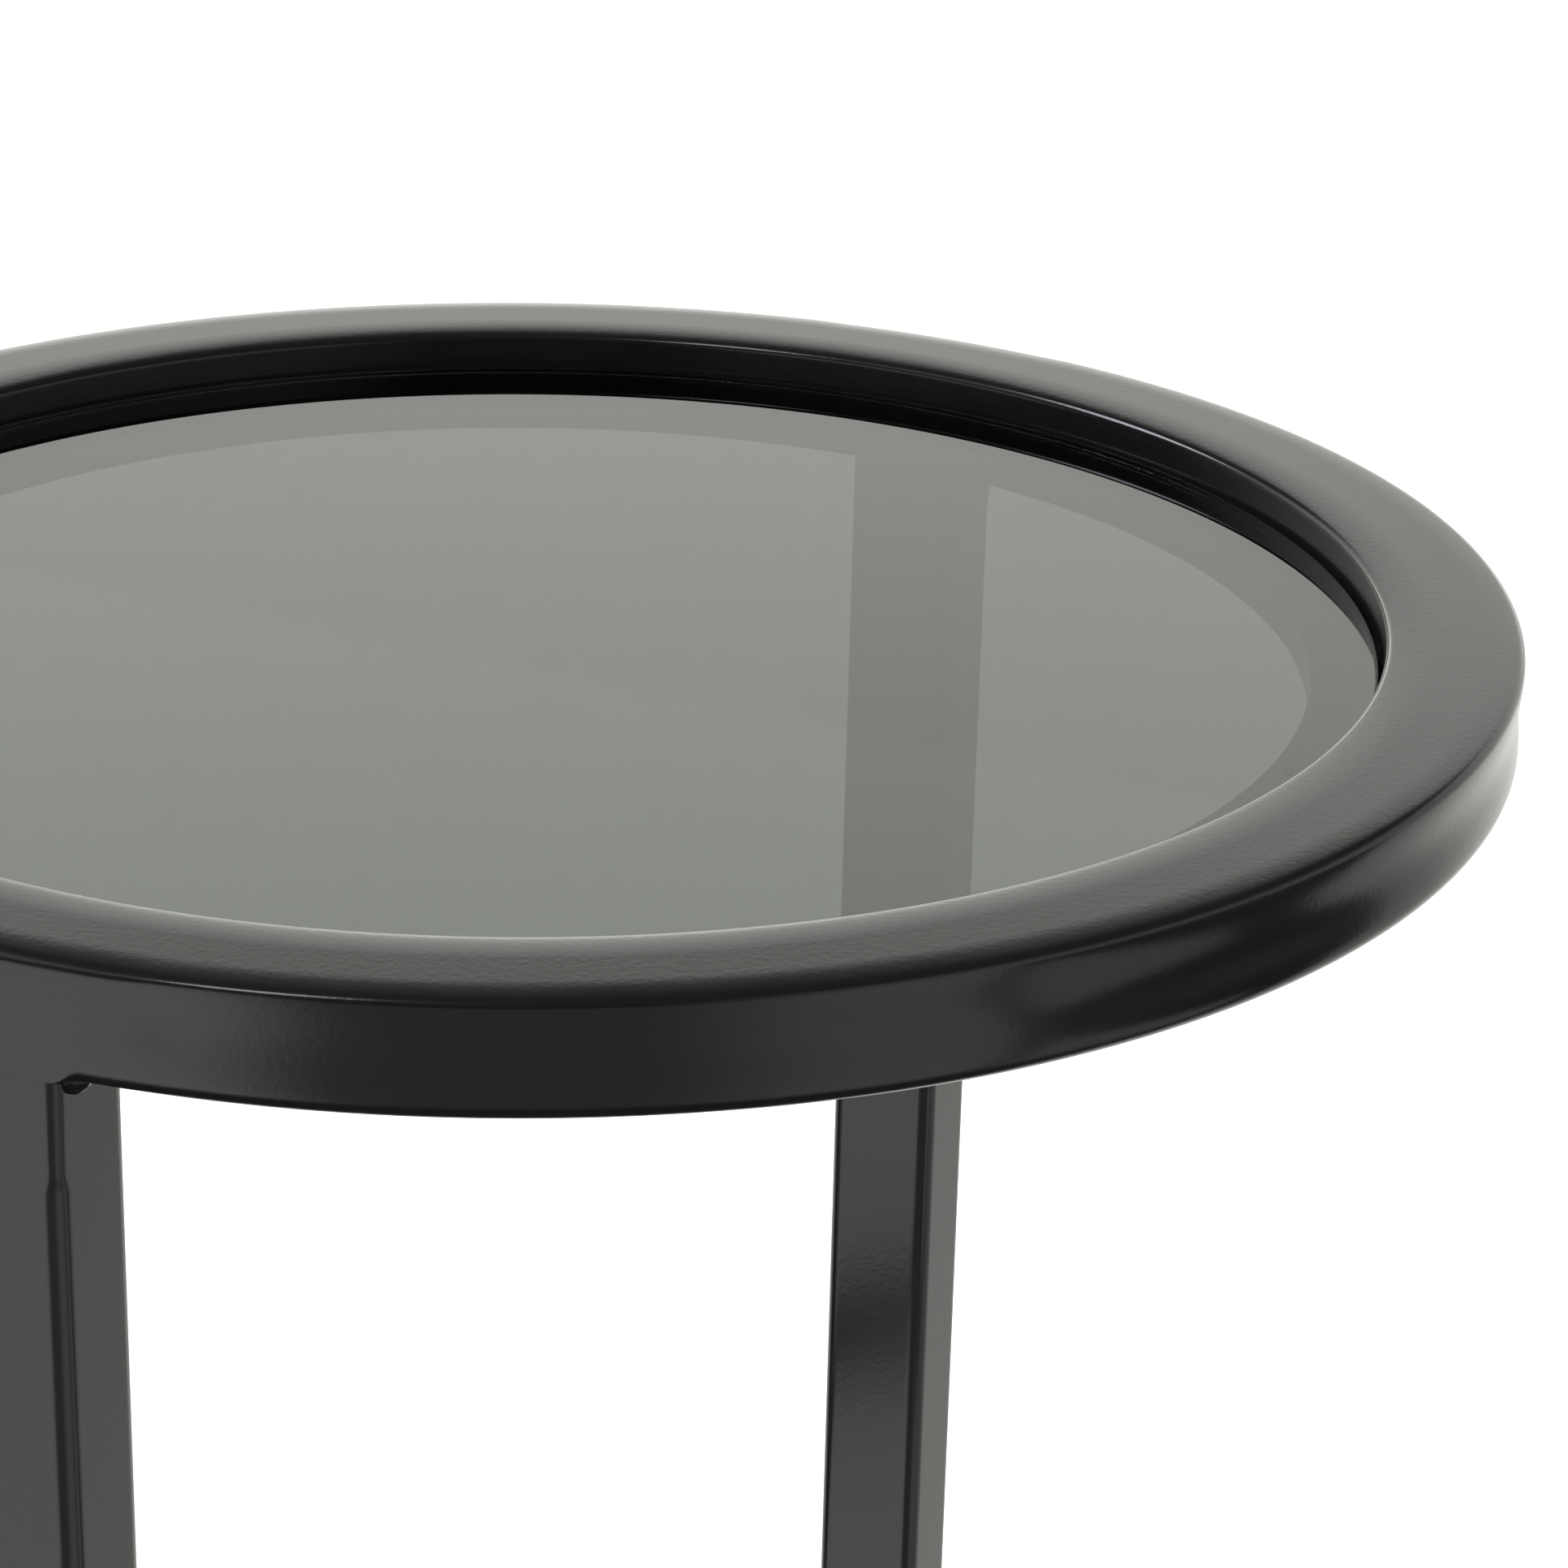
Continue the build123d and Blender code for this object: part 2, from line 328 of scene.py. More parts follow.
def straight_stations(azimuths, outline_at):
    """Outlines of a tube still straight: X is the azimuth in radians that bending takes it to."""
    return [[(math.radians(azimuth), across, up) for across, up in outline_at(azimuth)]
            for azimuth in azimuths]


def roll_tree():
    """Geometry nodes: rolls a straight tube round an upright axis and joins its ends.

    The tube's X is the azimuth, Y the distance out from the rolled line and Z the height.
    """
    tree = bpy.data.node_groups.new("Roll a tube into a ring", "GeometryNodeTree")
    sockets = (("Tube", "NodeSocketGeometry"), ("Radius", "NodeSocketFloat"),
               ("Centre", "NodeSocketVector"), ("Join Distance", "NodeSocketFloat"),
               ("Material", "NodeSocketMaterial"))
    for name, kind in sockets:
        tree.interface.new_socket(name, in_out="INPUT", socket_type=kind)
    tree.interface.new_socket("Geometry", in_out="OUTPUT", socket_type="NodeSocketGeometry")
    given = add_node(tree, "NodeGroupInput").outputs
    spot = add_node(tree, "GeometryNodeInputPosition").outputs["Position"]
    parts = add_node(tree, "ShaderNodeSeparateXYZ", {"Vector": spot}).outputs
    reach = add_node(tree, "ShaderNodeMath", {0: given["Radius"], 1: parts["Y"]},
                     operation="ADD").outputs[0]
    cosine = add_node(tree, "ShaderNodeMath", {0: parts["X"]}, operation="COSINE").outputs[0]
    sine = add_node(tree, "ShaderNodeMath", {0: parts["X"]}, operation="SINE").outputs[0]
    east = add_node(tree, "ShaderNodeMath", {0: reach, 1: cosine}, operation="MULTIPLY").outputs[0]
    north = add_node(tree, "ShaderNodeMath", {0: reach, 1: sine}, operation="MULTIPLY").outputs[0]
    rolled = add_node(tree, "ShaderNodeCombineXYZ", {"X": east, "Y": north, "Z": parts["Z"]})
    placed = add_node(tree, "ShaderNodeVectorMath", {0: rolled.outputs[0], 1: given["Centre"]},
                      operation="ADD").outputs[0]
    bent = add_node(tree, "GeometryNodeSetPosition", {"Geometry": given["Tube"],
                    "Position": placed}).outputs[0]
    joined = add_node(tree, "GeometryNodeMergeByDistance", {"Geometry": bent,
                      "Distance": given["Join Distance"]}).outputs[0]
    real = add_node(tree, "GeometryNodeRealizeInstances", {"Geometry": joined}).outputs[0]
    coated = add_node(tree, "GeometryNodeSetMaterial", {"Geometry": real,
                      "Material": given["Material"]})
    add_node(tree, "NodeGroupOutput", {"Geometry": coated.outputs[0]})
    return tree


ROLL_A_TUBE = roll_tree()
JOIN_DISTANCE = 0.002 * MM


def through_tree(name, item, tree, values, material):
    """Plain mesh object: a bmesh item put through a geometry nodes tree with these inputs."""
    inputs = {**values, "Material": material}
    source = finish_mesh(name + "_source", item, material)
    modifier = source.modifiers.new("shape", "NODES")
    modifier.node_group = tree
    for socket in tree.interface.items_tree:
        if socket.name in inputs:
            modifier[socket.identifier] = inputs[socket.name]
    source.update_tag()
    graph = bpy.context.evaluated_depsgraph_get()
    data = bpy.data.meshes.new_from_object(source.evaluated_get(graph))
    bpy.data.objects.remove(source)
    shaped = bmesh.new()
    shaped.from_mesh(data)
    bpy.data.meshes.remove(data)
    return finish_mesh(name, shaped, material)


def rolled_tube(name, table, height, radius, mesh, material):
    """Plain mesh object: a straight tube rolled about a table's axis."""
    values = {"Radius": radius, "Centre": (table.centre.x, table.centre.y, height),
              "Join Distance": JOIN_DISTANCE}
    return through_tree(name, mesh, ROLL_A_TUBE, values, material)


def ring_azimuths(start, arc, legs):
    """Even steps round a ring, and finer ones where a leg is ground flush with it."""
    steps = round(RING_STEPS * arc / 360.0)
    azimuths = {round(start + arc * step / steps, 4) for step in range(steps + 1)}
    reach = GROUND_ARC + GROUND_ARC_FADE
    for leg in legs:
        for step in range(-GROUND_STEPS, GROUND_STEPS + 1):
            azimuth = leg + reach * step / GROUND_STEPS
            if start <= azimuth <= start + arc:
                azimuths.add(round(azimuth, 4))
    return sorted(azimuths)


def ring_outline(table, azimuth, joint_below):
    """Section of a top ring (legs below it) or floor ring (legs above it) at an azimuth."""
    nearest = min(apart(azimuth, leg) for leg in table.legs.values())
    ground = 1.0 - smooth(nearest, GROUND_ARC, GROUND_ARC + GROUND_ARC_FADE)
    dressed = 1.0 - smooth(nearest, DRESSED_ARC, DRESSED_ARC + DRESSED_ARC_FADE)
    joint_corner = even(mix(TUBE_CORNER, SQUARE_CORNER, ground))
    sag = BEND_SAG * mix(1.0, DRESSED_SAG, dressed)
    if joint_below:
        crown = (mix(CROWN_OUTER[0], DRESSED_CORNER, dressed), *CROWN_OUTER[1:])
        corners = (joint_corner, crown, CROWN_INNER, joint_corner)
    else:
        corners = (even(TUBE_CORNER), joint_corner, joint_corner, even(TUBE_CORNER))
    return tube_outline(table.wide, table.deep, corners, sag)


def top_ring(table):
    azimuths = ring_azimuths(0.0, 360.0, table.legs.values())
    stations = straight_stations(azimuths, lambda azimuth: ring_outline(table, azimuth, True))
    piece = rolled_tube(table.name + "_ring_tube", table, table.top - table.deep / 2,
                        table.mid_radius, sweep(stations, capped=False), POWDER_COAT)
    attach(piece, table.body, "black_powder_coat", table.name + "_top_ring")


def floor_ring(table):
    start, end = table.base_start, table.base_end
    azimuths = ring_azimuths(start, end - start, table.legs.values())
    stations = straight_stations(azimuths, lambda azimuth: ring_outline(table, azimuth, False))
    piece = rolled_tube(table.name + "_floor_tube", table, table.base_top - table.deep / 2,
                        table.mid_radius, sweep(stations), POWDER_COAT)
    attach(piece, table.body, "black_powder_coat", table.name + "_base_ring")


def ledge(table):
    low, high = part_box(table.name + "_glass_ledge")
    outline = tube_outline(table.ledge_wide, high.z - low.z, (even(LEDGE_CORNER),) * 4)
    azimuths = [360.0 * step / RING_STEPS for step in range(RING_STEPS + 1)]
    stations = straight_stations(azimuths, lambda azimuth: outline)
    piece = rolled_tube(table.name + "_ledge_tube", table, (low.z + high.z) / 2,
                        table.ledge_radius, sweep(stations, capped=False), POWDER_COAT)
    attach(piece, table.body, "black_powder_coat", table.name + "_glass_ledge")


def leg_heights(low, high):
    """Heights up a leg: its ends, and close steps where the grinding fades out."""
    rises = [-JOINT_REACH, 0.0]
    rises += [JOINT_BLEND * step / BLEND_STEPS for step in range(1, BLEND_STEPS + 1)]
    rises += [GROUND_HEIGHT + GROUND_FADE * (step / FADE_STEPS - 0.5) for step in range(FADE_STEPS + 1)]
    return sorted([low + rise for rise in rises] + [high - rise for rise in rises])


def leg_tube(table, side):
    """Leg with its outer corners ground down next to both rings, where its outer face takes up
    the rings' curve."""
    node = table.name + "_leg_" + side
    low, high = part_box(node)
    out = turned(table.legs[side])
    across = Vector((-out.y, out.x, 0.0))
    stations = []
    for z in leg_heights(low.z, high.z):
        near = min(z - low.z, high.z - z)
        ground = 1.0 - smooth(near, GROUND_HEIGHT - GROUND_FADE / 2, GROUND_HEIGHT + GROUND_FADE / 2)
        blend = 1.0 - smooth(near, 0.0, JOINT_BLEND)
        dip = JOINT_DIP if near < 0.0 else 0.0
        outer = even(mix(TUBE_CORNER, GROUND_CORNER, ground))
        outline = tube_outline(table.deep, table.wide, (outer, outer) + (even(TUBE_CORNER),) * 2)
        middle = table.centre + out * (table.radius - table.deep / 2)
        station = []
        for u, v in outline:
            share = u / table.deep + 0.5
            u -= share * (dip + blend * v * v / (2 * table.radius))
            station.append((*(middle + out * u + across * v).xy, z))
        stations.append(station)
    piece = finish_mesh(table.name + "_leg_tube_" + side, sweep(stations), POWDER_COAT)
    attach(piece, table.body, "black_powder_coat", node)


# ---------------------------------------------------------------- welds

BEAD_LENGTH = 21.0 * MM
BEAD_SIZE = 4.2 * MM
BEAD_INSET = 0.5 * MM           # nearer the axis than the leg's middle: its outer end is ground off
BEAD_ROOT = 0.3 * MM            # how deep a bead starts inside the two faces it joins
BEAD_LUMP = 8.5 * MM            # length of one lump of an unground bead
BEAD_FULLNESS = 0.6             # below 1, the lumps are full and the crevices between them narrow
BEAD_TAPER = 6                  # the higher, the blunter a bead's ends
BEAD_END = 0.02                 # squared share of the size that is left at its very ends
BEAD_BODY = 0.45                # shares of the size: a bead's least reach, what a lump adds to it
BEAD_SWELL = 0.5
BEAD_SPATTER = 0.4              # and what the fine roughness adds or takes away
BEAD_GRAIN = 420.0              # roughness along a bead, in noise units to the metre
BEAD_GRAIN_ROUND = 0.9          # and round it, in noise units to the radian
BEAD_WANDER = 0.4 * MM          # how far the roughness shifts the skin along a bead
BEAD_ROUND = 12
BEAD_ALONG = 72

TACK_LENGTH = 14.0 * MM
TACK_SIZE = 1.7 * MM
TACK_SEED = 4
TACK_HEIGHT = 1.4 * MM          # of the groove's ceiling above the underside of the tacks
TACK_INSET = 0.2 * MM
TACK_COUNT = 6
TACK_START = 22.1


def bead_mesh(mesh, place, length, size, seed):
    """Adds one unground bead in the corner between a wall (y = 0) and a ceiling (z = 0).

    It runs along X and swells in lumps, one for each pause of the torch, with a crevice between.
    """
    phase = random.Random(seed).uniform(0.0, BEAD_LUMP)
    stations = []
    for step in range(BEAD_ALONG + 1):
        share = step / BEAD_ALONG
        x = (share - 0.5) * length
        lump = abs(math.sin(math.pi * (x + phase) / BEAD_LUMP)) ** BEAD_FULLNESS
        taper = math.sqrt(max(1.0 - abs(2 * share - 1) ** BEAD_TAPER, BEAD_END))
        station = [place @ Vector((x, -BEAD_ROOT, BEAD_ROOT))]
        for turn in range(BEAD_ROUND + 1):
            angle = math.radians(90.0 * turn / BEAD_ROUND)
            spot = Vector((x * BEAD_GRAIN, math.cos(angle) * BEAD_GRAIN_ROUND,
                           math.sin(angle) * BEAD_GRAIN_ROUND + seed))
            rough = noise.noise(spot) * 0.4 + noise.noise(spot * 2.7) * 0.2
            reach = size * taper * (BEAD_BODY + BEAD_SWELL * lump + BEAD_SPATTER * rough)
            station.append(place @ Vector((x + rough * BEAD_WANDER, reach * math.cos(angle),
                                           -reach * math.sin(angle))))
        stations.append(station)
    sweep(stations, mesh=mesh)


def leg_beads(table, end, height, up):
    """Beads on both side faces of every leg where it meets a ring; up is +1 below a top ring."""
    mesh = bmesh.new()
    for number, azimuth in enumerate(table.legs.values()):
        middle = table.centre + turned(azimuth) * (table.radius - table.deep / 2 - BEAD_INSET)
        for side in (1, -1):
            place = (Matrix.Translation((middle.x, middle.y, height))
                     @ Matrix.Rotation(math.radians(azimuth), 4, "Z")
                     @ Matrix.Translation((0.0, side * table.wide / 2, 0.0))
                     @ Matrix.Diagonal((1.0, side, up, 1.0)))
            seed = 10 * number + side + 3 * up + 5
            bead_mesh(mesh, place, BEAD_LENGTH, BEAD_SIZE, seed)
    piece = finish_mesh(table.name + "_" + end + "_beads", mesh, POWDER_COAT)
    attach(piece, table.body, "black_powder_coat", table.name + "_" + end + "_welds")


# ---------------------------------------------------------------- round pieces

GLASS_EDGE = 0.8 * MM           # radius of the polished rim of a glass

PAD_RADIUS = 4.0 * MM
PAD_EDGES = (0.1 * MM, 0.45 * MM)
PAD_COUNT = 6
PAD_START = 30.0                # azimuth of the first pad, in degrees
PAD_SIDES = 40

GLIDE_RADIUS = 9.0 * MM
GLIDE_EDGES = (1.1 * MM, 0.2 * MM)
GLIDE_COUNT = 5
GLIDE_START = -9.0
GLIDE_STEP = 49.5
GLIDE_SIDES = 64


def lathe(profile, steps):
    """bmesh turned about Z from (radius, height) points; ends on the axis become poles."""
    mesh = bmesh.new()
    rows = []
    for radius, height in profile:
        if radius == 0.0:
            rows.append([mesh.verts.new((0.0, 0.0, height))])
        else:
            rows.append([mesh.verts.new((*(turned(360.0 * step / steps) * radius).xy, height))
                         for step in range(steps)])
    for first, second in zip(rows, rows[1:]):
        for i in range(steps):
            j = (i + 1) % steps
            if len(first) == 1:
                mesh.faces.new((first[0], second[j], second[i]))
            elif len(second) == 1:
                mesh.faces.new((first[i], first[j], second[0]))
            else:
                mesh.faces.new((first[i], first[j], second[j], second[i]))
    return mesh


def rounded_disc(radius, thickness, edge_low, edge_high, steps=5):
    """Profile of a disc on z = 0 with its rim rounded below and above."""
    profile = [(0.0, 0.0), (radius - edge_low - EDGE_LOOP, 0.0)]
    for step in range(steps + 1):
        angle = math.radians(-90.0 + 90.0 * step / steps)
        profile.append((radius - edge_low + edge_low * math.cos(angle),
                        edge_low + edge_low * math.sin(angle)))
    for step in range(steps + 1):
        angle = math.radians(90.0 * step / steps)
        profile.append((radius - edge_high + edge_high * math.cos(angle),
                        thickness - edge_high + edge_high * math.sin(angle)))
    profile += [(radius - edge_high - EDGE_LOOP, thickness), (0.0, thickness)]
    return profile


def glass_disc(table):
    low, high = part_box(table.name + "_glass_top")
    profile = rounded_disc((high.x - low.x) / 2, high.z - low.z, GLASS_EDGE, GLASS_EDGE)
    mesh = lathe(profile, DISC_STEPS)
    bmesh.ops.translate(mesh, verts=mesh.verts, vec=(table.centre.x, table.centre.y, low.z))
    piece = finish_mesh(table.name + "_glass_disc", mesh, SMOKED_GLASS)
    attach(piece, table.name + "_glass", "smoked_glass", table.name + "_glass_top")


# ---------------------------------------------------------------- repeated pieces

def round_the_ring_tree():
    """Geometry nodes: copies of a mesh at even steps round an axis, made real."""
    tree = bpy.data.node_groups.new("Round the ring", "GeometryNodeTree")
    sockets = (("Item", "NodeSocketGeometry"), ("Count", "NodeSocketInt"),
               ("Radius", "NodeSocketFloat"), ("Start", "NodeSocketFloat"),
               ("Step", "NodeSocketFloat"), ("Centre", "NodeSocketVector"),
               ("Material", "NodeSocketMaterial"))
    for name, kind in sockets:
        tree.interface.new_socket(name, in_out="INPUT", socket_type=kind)
    tree.interface.new_socket("Geometry", in_out="OUTPUT", socket_type="NodeSocketGeometry")
    given = add_node(tree, "NodeGroupInput").outputs
    index = add_node(tree, "GeometryNodeInputIndex").outputs["Index"]
    angle = add_node(tree, "ShaderNodeMath", {0: index, 1: given["Step"], 2: given["Start"]},
                     operation="MULTIPLY_ADD").outputs[0]
    east = add_node(tree, "ShaderNodeMath", {0: angle}, operation="COSINE").outputs[0]
    north = add_node(tree, "ShaderNodeMath", {0: angle}, operation="SINE").outputs[0]
    heading = add_node(tree, "ShaderNodeCombineXYZ", {"X": east, "Y": north}).outputs[0]
    spot = add_node(tree, "ShaderNodeVectorMath", {0: heading, 1: given["Radius"],
                    2: given["Centre"]}, operation="MULTIPLY_ADD").outputs[0]
    spin = add_node(tree, "ShaderNodeCombineXYZ", {"Z": angle}).outputs[0]
    rotation = add_node(tree, "FunctionNodeEulerToRotation", {"Euler": spin}).outputs[0]
    points = add_node(tree, "GeometryNodePoints", {"Count": given["Count"], "Position": spot})
    copies = add_node(tree, "GeometryNodeInstanceOnPoints", {"Points": points.outputs[0],
                      "Instance": given["Item"], "Rotation": rotation})
    real = add_node(tree, "GeometryNodeRealizeInstances", {"Geometry": copies.outputs[0]})
    coated = add_node(tree, "GeometryNodeSetMaterial", {"Geometry": real.outputs[0],
                      "Material": given["Material"]})
    add_node(tree, "NodeGroupOutput", {"Geometry": coated.outputs[0]})
    return tree


ROUND_THE_RING = round_the_ring_tree()


def copies_round(name, item, table, count, radius, start, step, height, material):
    """Plain mesh object holding count copies of a bmesh item round a table's axis."""
    values = {"Count": count, "Radius": radius, "Start": math.radians(start),
              "Step": math.radians(step), "Centre": (table.centre.x, table.centre.y, height)}
    return through_tree(name, item, ROUND_THE_RING, values, material)


def glass_pads(table):
    low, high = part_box(table.name + "_glass_pads")
    pad = lathe(rounded_disc(PAD_RADIUS, high.z - low.z, *PAD_EDGES), PAD_SIDES)
    piece = copies_round(table.name + "_bumpers", pad, table, PAD_COUNT, table.ledge_radius,
                         PAD_START, 360.0 / PAD_COUNT, low.z, SILICONE)
    attach(piece, table.body, "clear_pad", table.name + "_glass_pads")


def floor_glides(table):
    low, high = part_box(table.name + "_floor_glides")
    disc = lathe(rounded_disc(GLIDE_RADIUS, high.z - low.z, *GLIDE_EDGES), GLIDE_SIDES)
    piece = copies_round(table.name + "_glides", disc, table, GLIDE_COUNT, table.mid_radius,
                         GLIDE_START, GLIDE_STEP, low.z, GLIDE_PLASTIC)
    attach(piece, table.body, "black_glide", table.name + "_floor_glides")


def ledge_tacks(table):
    """Short unground beads in the groove under the ledge."""
    low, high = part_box(table.name + "_ledge_welds")
    mesh = bmesh.new()
    place = Matrix.Translation((0.0, 0.0, TACK_HEIGHT)) @ Matrix.Rotation(math.radians(90.0), 4, "Z")
    bead_mesh(mesh, place, TACK_LENGTH, TACK_SIZE, TACK_SEED)
    piece = copies_round(table.name + "_tacks", mesh, table, TACK_COUNT,
                         table.inner_radius - TACK_INSET, TACK_START, 360.0 / TACK_COUNT, low.z,
                         POWDER_COAT)
    attach(piece, table.body, "black_powder_coat", table.name + "_ledge_welds")


PLUG_HEAD = 3.0 * MM            # how far a plug's head stands out of the tube
PLUG_ROUNDING = 1.4 * MM        # of the head's rim
PLUG_STEPS = 8
PLUG_CORNER_SHARE = 0.6         # the corners shrink by this share of what the sides draw in


def end_plugs(table):
    """Domed heads of the plugs in the open ends of the floor ring."""
    profile = [(0.0, 0.0)]
    for step in range(PLUG_STEPS + 1):
        angle = math.radians(90.0 * step / PLUG_STEPS)
        profile.append((PLUG_HEAD - PLUG_ROUNDING + PLUG_ROUNDING * math.sin(angle),
                        PLUG_ROUNDING * (1.0 - math.cos(angle))))
    mesh = bmesh.new()
    for start, way in ((table.base_start, -1), (table.base_end, 1)):
        stations = []
        for depth, inset in profile:
            azimuth = start + way * math.degrees(depth / table.mid_radius)
            corner = even(TUBE_CORNER - inset * PLUG_CORNER_SHARE)
            outline = tube_outline(table.wide - 2 * inset, table.deep - 2 * inset, (corner,) * 4)
            stations += straight_stations([azimuth], lambda _: outline)
        sweep(stations, mesh=mesh)
    piece = rolled_tube(table.name + "_end_plugs", table, table.base_top - table.deep / 2,
                        table.mid_radius, mesh, PLUG_PLASTIC)
    attach(piece, table.body, "black_plug", table.name + "_base_end_caps")


# ---------------------------------------------------------------- the two tables

def table_facts(name):
    """Centre, radii, heights and leg azimuths of one table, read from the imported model."""
    ring_low, ring_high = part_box(name + "_top_ring")
    base_low, base_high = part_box(name + "_base_ring")
    centre = Vector(((ring_low.x + ring_high.x) / 2, (ring_low.y + ring_high.y) / 2, 0.0))
    radius = (ring_high.y - ring_low.y) / 2
    ledge_low, ledge_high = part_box(name + "_glass_ledge")
    inner_radius = (ledge_high.x - ledge_low.x) / 2
    pad_low, pad_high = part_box(name + "_glass_pads")
    ledge_radius = (pad_high.y - pad_low.y) / 2 - PAD_RADIUS
    wide = radius - inner_radius
    legs = {}
    for side in ("right", "left", "back"):
        low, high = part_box(name + "_leg_" + side)
        away = (low + high) / 2 - centre
        legs[side] = math.degrees(math.atan2(away.y, away.x)) % 360.0
    legs["right"] -= 360.0      # within the floor ring's arc, which starts below zero
    toe = math.degrees(math.asin((centre.y - base_low.y) / radius))
    return SimpleNamespace(
        name=name, body=name + "_table", centre=centre, radius=radius, wide=wide,
        deep=ring_high.z - ring_low.z, inner_radius=inner_radius, mid_radius=radius - wide / 2,
        ledge_radius=ledge_radius, ledge_wide=2 * (inner_radius - ledge_radius),
        top=ring_high.z, joint=ring_low.z, base_top=base_high.z, legs=legs,
        base_start=-toe, base_end=180.0 + toe)


def build_table(name):
    table = table_facts(name)
    top_ring(table)
    floor_ring(table)
    ledge(table)
    for side in table.legs:
        leg_tube(table, side)
    leg_beads(table, "top", table.joint, 1)
    leg_beads(table, "base", table.base_top, -1)
    ledge_tacks(table)
    glass_disc(table)
    glass_pads(table)
    end_plugs(table)
    floor_glides(table)
    return table


LARGE = build_table("large")
build_table("small")


# ---------------------------------------------------------------- camera

# The camera looks across the front left leg of the large table, from above the rim.
VIEW_TURN = -61.65              # degrees about Z from the camera's own front view to the table's front
VIEW_REACH = 4.3434             # horizontal distance from the ring's axis, in ring radii
VIEW_RISE = 1.5651              # height above the top of the ring, in ring radii
VIEW_DOWN = 22.33               # degrees below level
VIEW_RIGHT = 3.5                # degrees to the right of the ring's axis
VIEW_ROLL = 1.45                # degrees, as the camera was held
LENS = 104.75                   # focal length and sensor width, in millimetres
SENSOR = 36.0


def viewing_camera():
    """Long-lens camera close above the rim, slightly rolled."""
    turn = Matrix.Rotation(math.radians(VIEW_TURN), 4, "Z")
    place = turn @ Vector((0.0, -VIEW_REACH * LARGE.radius, VIEW_RISE * LARGE.radius))
    aim = (turn
           @ Matrix.Rotation(math.radians(-VIEW_RIGHT), 4, "Z")
           @ Matrix.Rotation(math.radians(90.0 - VIEW_DOWN), 4, "X")
           @ Matrix.Rotation(math.radians(VIEW_ROLL), 4, "Z"))
    data = bpy.data.cameras.new("camera")
    data.lens = LENS
    data.sensor_width = SENSOR
    data.clip_end = 200.0
    camera = bpy.data.objects.new("camera", data)
    camera.matrix_world = Matrix.Translation(LARGE.centre + place + Vector((0, 0, LARGE.top))) @ aim
    bpy.context.scene.collection.objects.link(camera)
    bpy.context.scene.camera = camera


viewing_camera()


# ---------------------------------------------------------------- floor and light

FLOOR_REACH = 12.0              # metres from the middle of the floor to each side


def floor():
    """Seamless pale paper floor."""
    material, tree, place = new_material("pale_studio_paper")
    fibre = add_node(tree, "ShaderNodeTexNoise", {"Vector": place, "Scale": 40.0, "Detail": 4.0})
    tint = add_node(tree, "ShaderNodeMix", {"Factor": fibre.outputs["Fac"],
                    MIX_A: colour("#f2f2f1"), MIX_B: colour("#f5f5f4")}, data_type="RGBA")
    shader = add_node(tree, "ShaderNodeBsdfPrincipled", {"Base Color": tint.outputs[MIX_RESULT],
                      "Roughness": 0.9, "Specular IOR Level": 0.1})
    add_node(tree, "ShaderNodeOutputMaterial", {"Surface": shader.outputs["BSDF"]})
    mesh = bmesh.new()
    bmesh.ops.create_grid(mesh, x_segments=1, y_segments=1, size=FLOOR_REACH)
    piece = finish_mesh("studio_floor", mesh, material)
    piece.visible_glossy = False


# Soft-edged panels of light all round, in degrees: side is the heading of a panel's middle,
# clockwise from the camera's line of sight, half its half width, low and high its elevations;
# soft_sides and soft_ends are how far its upright and its level edges fade to either side.
PANELS = {
    "paper sweep beyond the table": SimpleNamespace(
        side=0.0, half=60.0, low=-60.0, high=25.9, soft_sides=22.0, soft_ends=0.9,
        radiance=1.24, tint="#fffef9"),
    "foot of the sweep": SimpleNamespace(
        side=0.0, half=24.0, low=-2.0, high=11.0, soft_sides=12.0, soft_ends=3.0,
        radiance=1.1, tint="#fffdf6"),
    "left softbox": SimpleNamespace(
        side=-70.0, half=13.0, low=28.0, high=50.0, soft_sides=4.0, soft_ends=4.0,
        radiance=12.0, tint="#f2f6ff"),
    "second softbox": SimpleNamespace(
        side=-142.0, half=10.0, low=44.0, high=60.0, soft_sides=4.0, soft_ends=4.0,
        radiance=10.0, tint="#f2f6ff"),
    "gap between the softboxes": SimpleNamespace(
        side=-105.0, half=16.0, low=30.0, high=56.0, soft_sides=4.0, soft_ends=4.0,
        radiance=0.8, tint="#f2f6ff"),
    "left softbox on the paper": SimpleNamespace(
        side=-126.0, half=24.0, low=-45.0, high=10.0, soft_sides=10.0, soft_ends=10.0,
        radiance=1.55, tint="#fbfcff"),
    "right side wall": SimpleNamespace(
        side=112.0, half=42.0, low=-45.0, high=25.0, soft_sides=14.0, soft_ends=14.0,
        radiance=0.68, tint="#fffdf8"),
    "paper in front of the table": SimpleNamespace(
        side=180.0, half=60.0, low=-45.0, high=-2.0, soft_sides=12.0, soft_ends=6.0,
        radiance=0.3, tint="#fbfcff"),
}
ROOM = 0.03                     # radiance of the unlit room between the panels


def panel_edges(panel):
    """For the sides, bottom and top of a panel: the value at which it is dark, and fully lit.

    The sides go by the cosine of the heading away from its middle, the rest by the sine of the
    elevation.
    """
    sides = [math.cos(math.radians(panel.half + fade)) for fade in (panel.soft_sides, -panel.soft_sides)]
    bottom = [math.sin(math.radians(panel.low + fade)) for fade in (-panel.soft_ends, panel.soft_ends)]
    top = [math.sin(math.radians(panel.high + fade)) for fade in (panel.soft_ends, -panel.soft_ends)]
    return sides, bottom, top


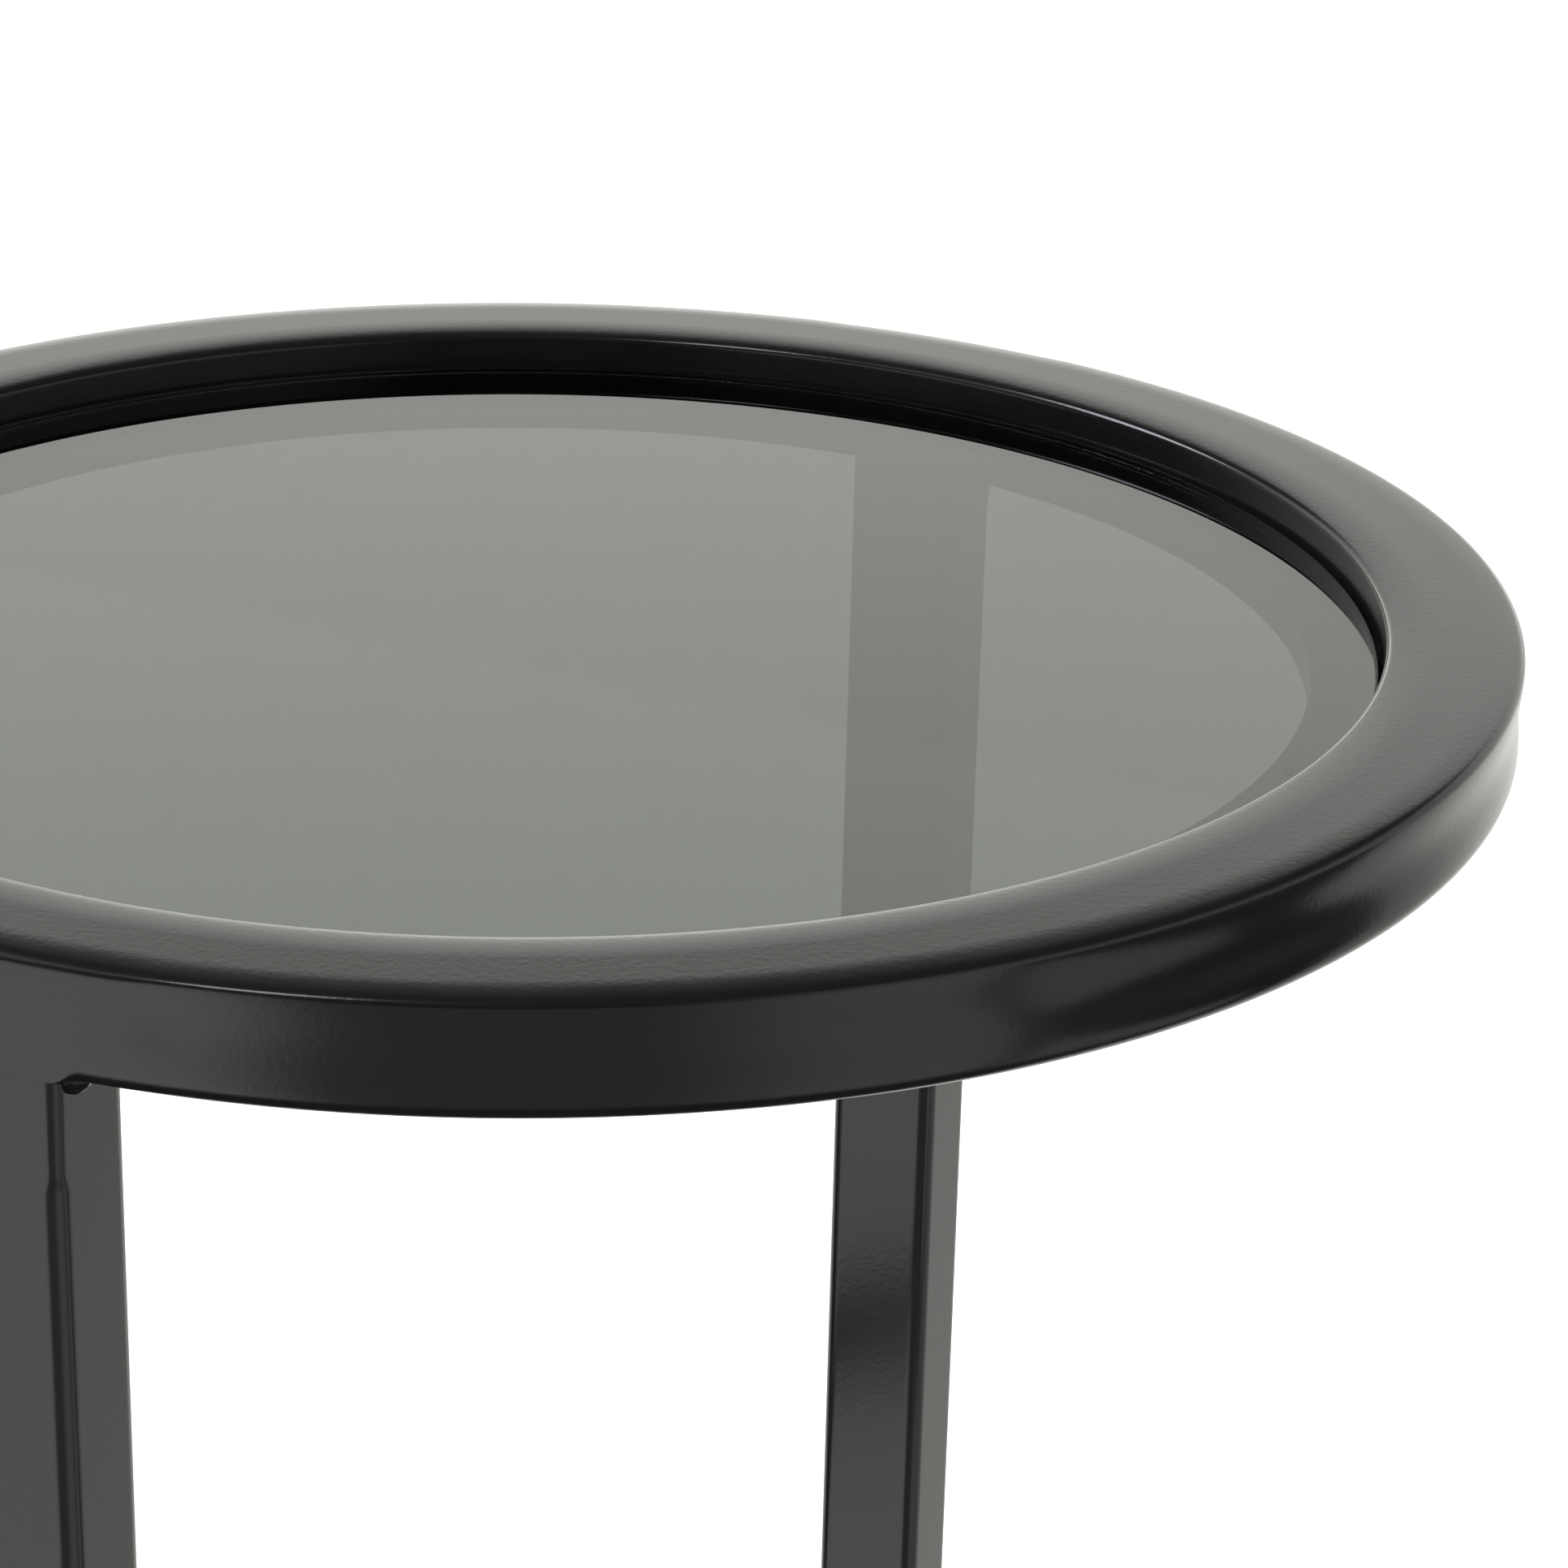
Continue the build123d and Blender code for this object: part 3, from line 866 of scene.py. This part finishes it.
def studio_world():
    """Bright paper beyond the table, softboxes at the left, dim room behind the camera.

    This is what lights the tables and shows in them; the camera itself sees plain white.
    """
    world = bpy.data.worlds.new("studio")
    world.use_nodes = True
    tree = world.node_tree
    tree.nodes.clear()
    heading = add_node(tree, "ShaderNodeTexCoord").outputs["Generated"]
    height = add_node(tree, "ShaderNodeSeparateXYZ", {"Vector": heading}).outputs["Z"]
    level = add_node(tree, "ShaderNodeVectorMath", {0: heading, 1: (1.0, 1.0, 0.0)},
                     operation="MULTIPLY").outputs[0]
    flat = add_node(tree, "ShaderNodeVectorMath", {0: level}, operation="NORMALIZE").outputs[0]
    total = add_node(tree, "ShaderNodeCombineXYZ", {"X": ROOM, "Y": ROOM, "Z": ROOM}).outputs[0]
    for panel in PANELS.values():
        middle = turned(90.0 + VIEW_TURN - panel.side)
        across = add_node(tree, "ShaderNodeVectorMath", {0: flat, 1: middle},
                          operation="DOT_PRODUCT").outputs["Value"]
        inside = []
        for value, (dark, lit) in zip((across, height, height), panel_edges(panel)):
            edge = add_node(tree, "ShaderNodeMapRange", {"Value": value, "From Min": dark,
                            "From Max": lit}, interpolation_type="SMOOTHSTEP")
            inside.append(edge.outputs["Result"])
        upright = add_node(tree, "ShaderNodeMath", {0: inside[0], 1: inside[1]},
                           operation="MULTIPLY").outputs[0]
        whole = add_node(tree, "ShaderNodeMath", {0: upright, 1: inside[2]},
                         operation="MULTIPLY").outputs[0]
        glow = [channel * panel.radiance for channel in colour(panel.tint)[:3]]
        total = add_node(tree, "ShaderNodeVectorMath", {0: whole, 1: glow, 2: total},
                         operation="MULTIPLY_ADD").outputs[0]
    ray = add_node(tree, "ShaderNodeLightPath").outputs["Is Camera Ray"]
    seen = add_node(tree, "ShaderNodeMix", {"Factor": ray, MIX_A: total, MIX_B: colour("#ffffff")},
                    data_type="RGBA")
    back = add_node(tree, "ShaderNodeBackground", {"Color": seen.outputs[MIX_RESULT]})
    add_node(tree, "ShaderNodeOutputWorld", {"Surface": back.outputs[0]})
    bpy.context.scene.world = world


DIFFUSER_SIZE = 14.0            # metres
DIFFUSER_POWER = 1100.0         # watts
DIFFUSER_HEIGHT = 4.0           # metres above the floor
DIFFUSER_BEYOND = 1.2           # metres beyond the large table, as the camera sees it


def overhead_light():
    """Broad diffused light over the whole set, kept out of the reflections."""
    data = bpy.data.lights.new("overhead_diffuser", "AREA")
    data.shape = "SQUARE"
    data.size = DIFFUSER_SIZE
    data.energy = DIFFUSER_POWER
    lamp = bpy.data.objects.new("overhead_diffuser", data)
    beyond = turned(90.0 + VIEW_TURN) * DIFFUSER_BEYOND
    lamp.location = LARGE.centre + beyond + Vector((0.0, 0.0, DIFFUSER_HEIGHT))
    lamp.visible_glossy = False
    bpy.context.scene.collection.objects.link(lamp)


floor()
studio_world()
overhead_light()
bpy.context.scene.view_settings.view_transform = "Standard"
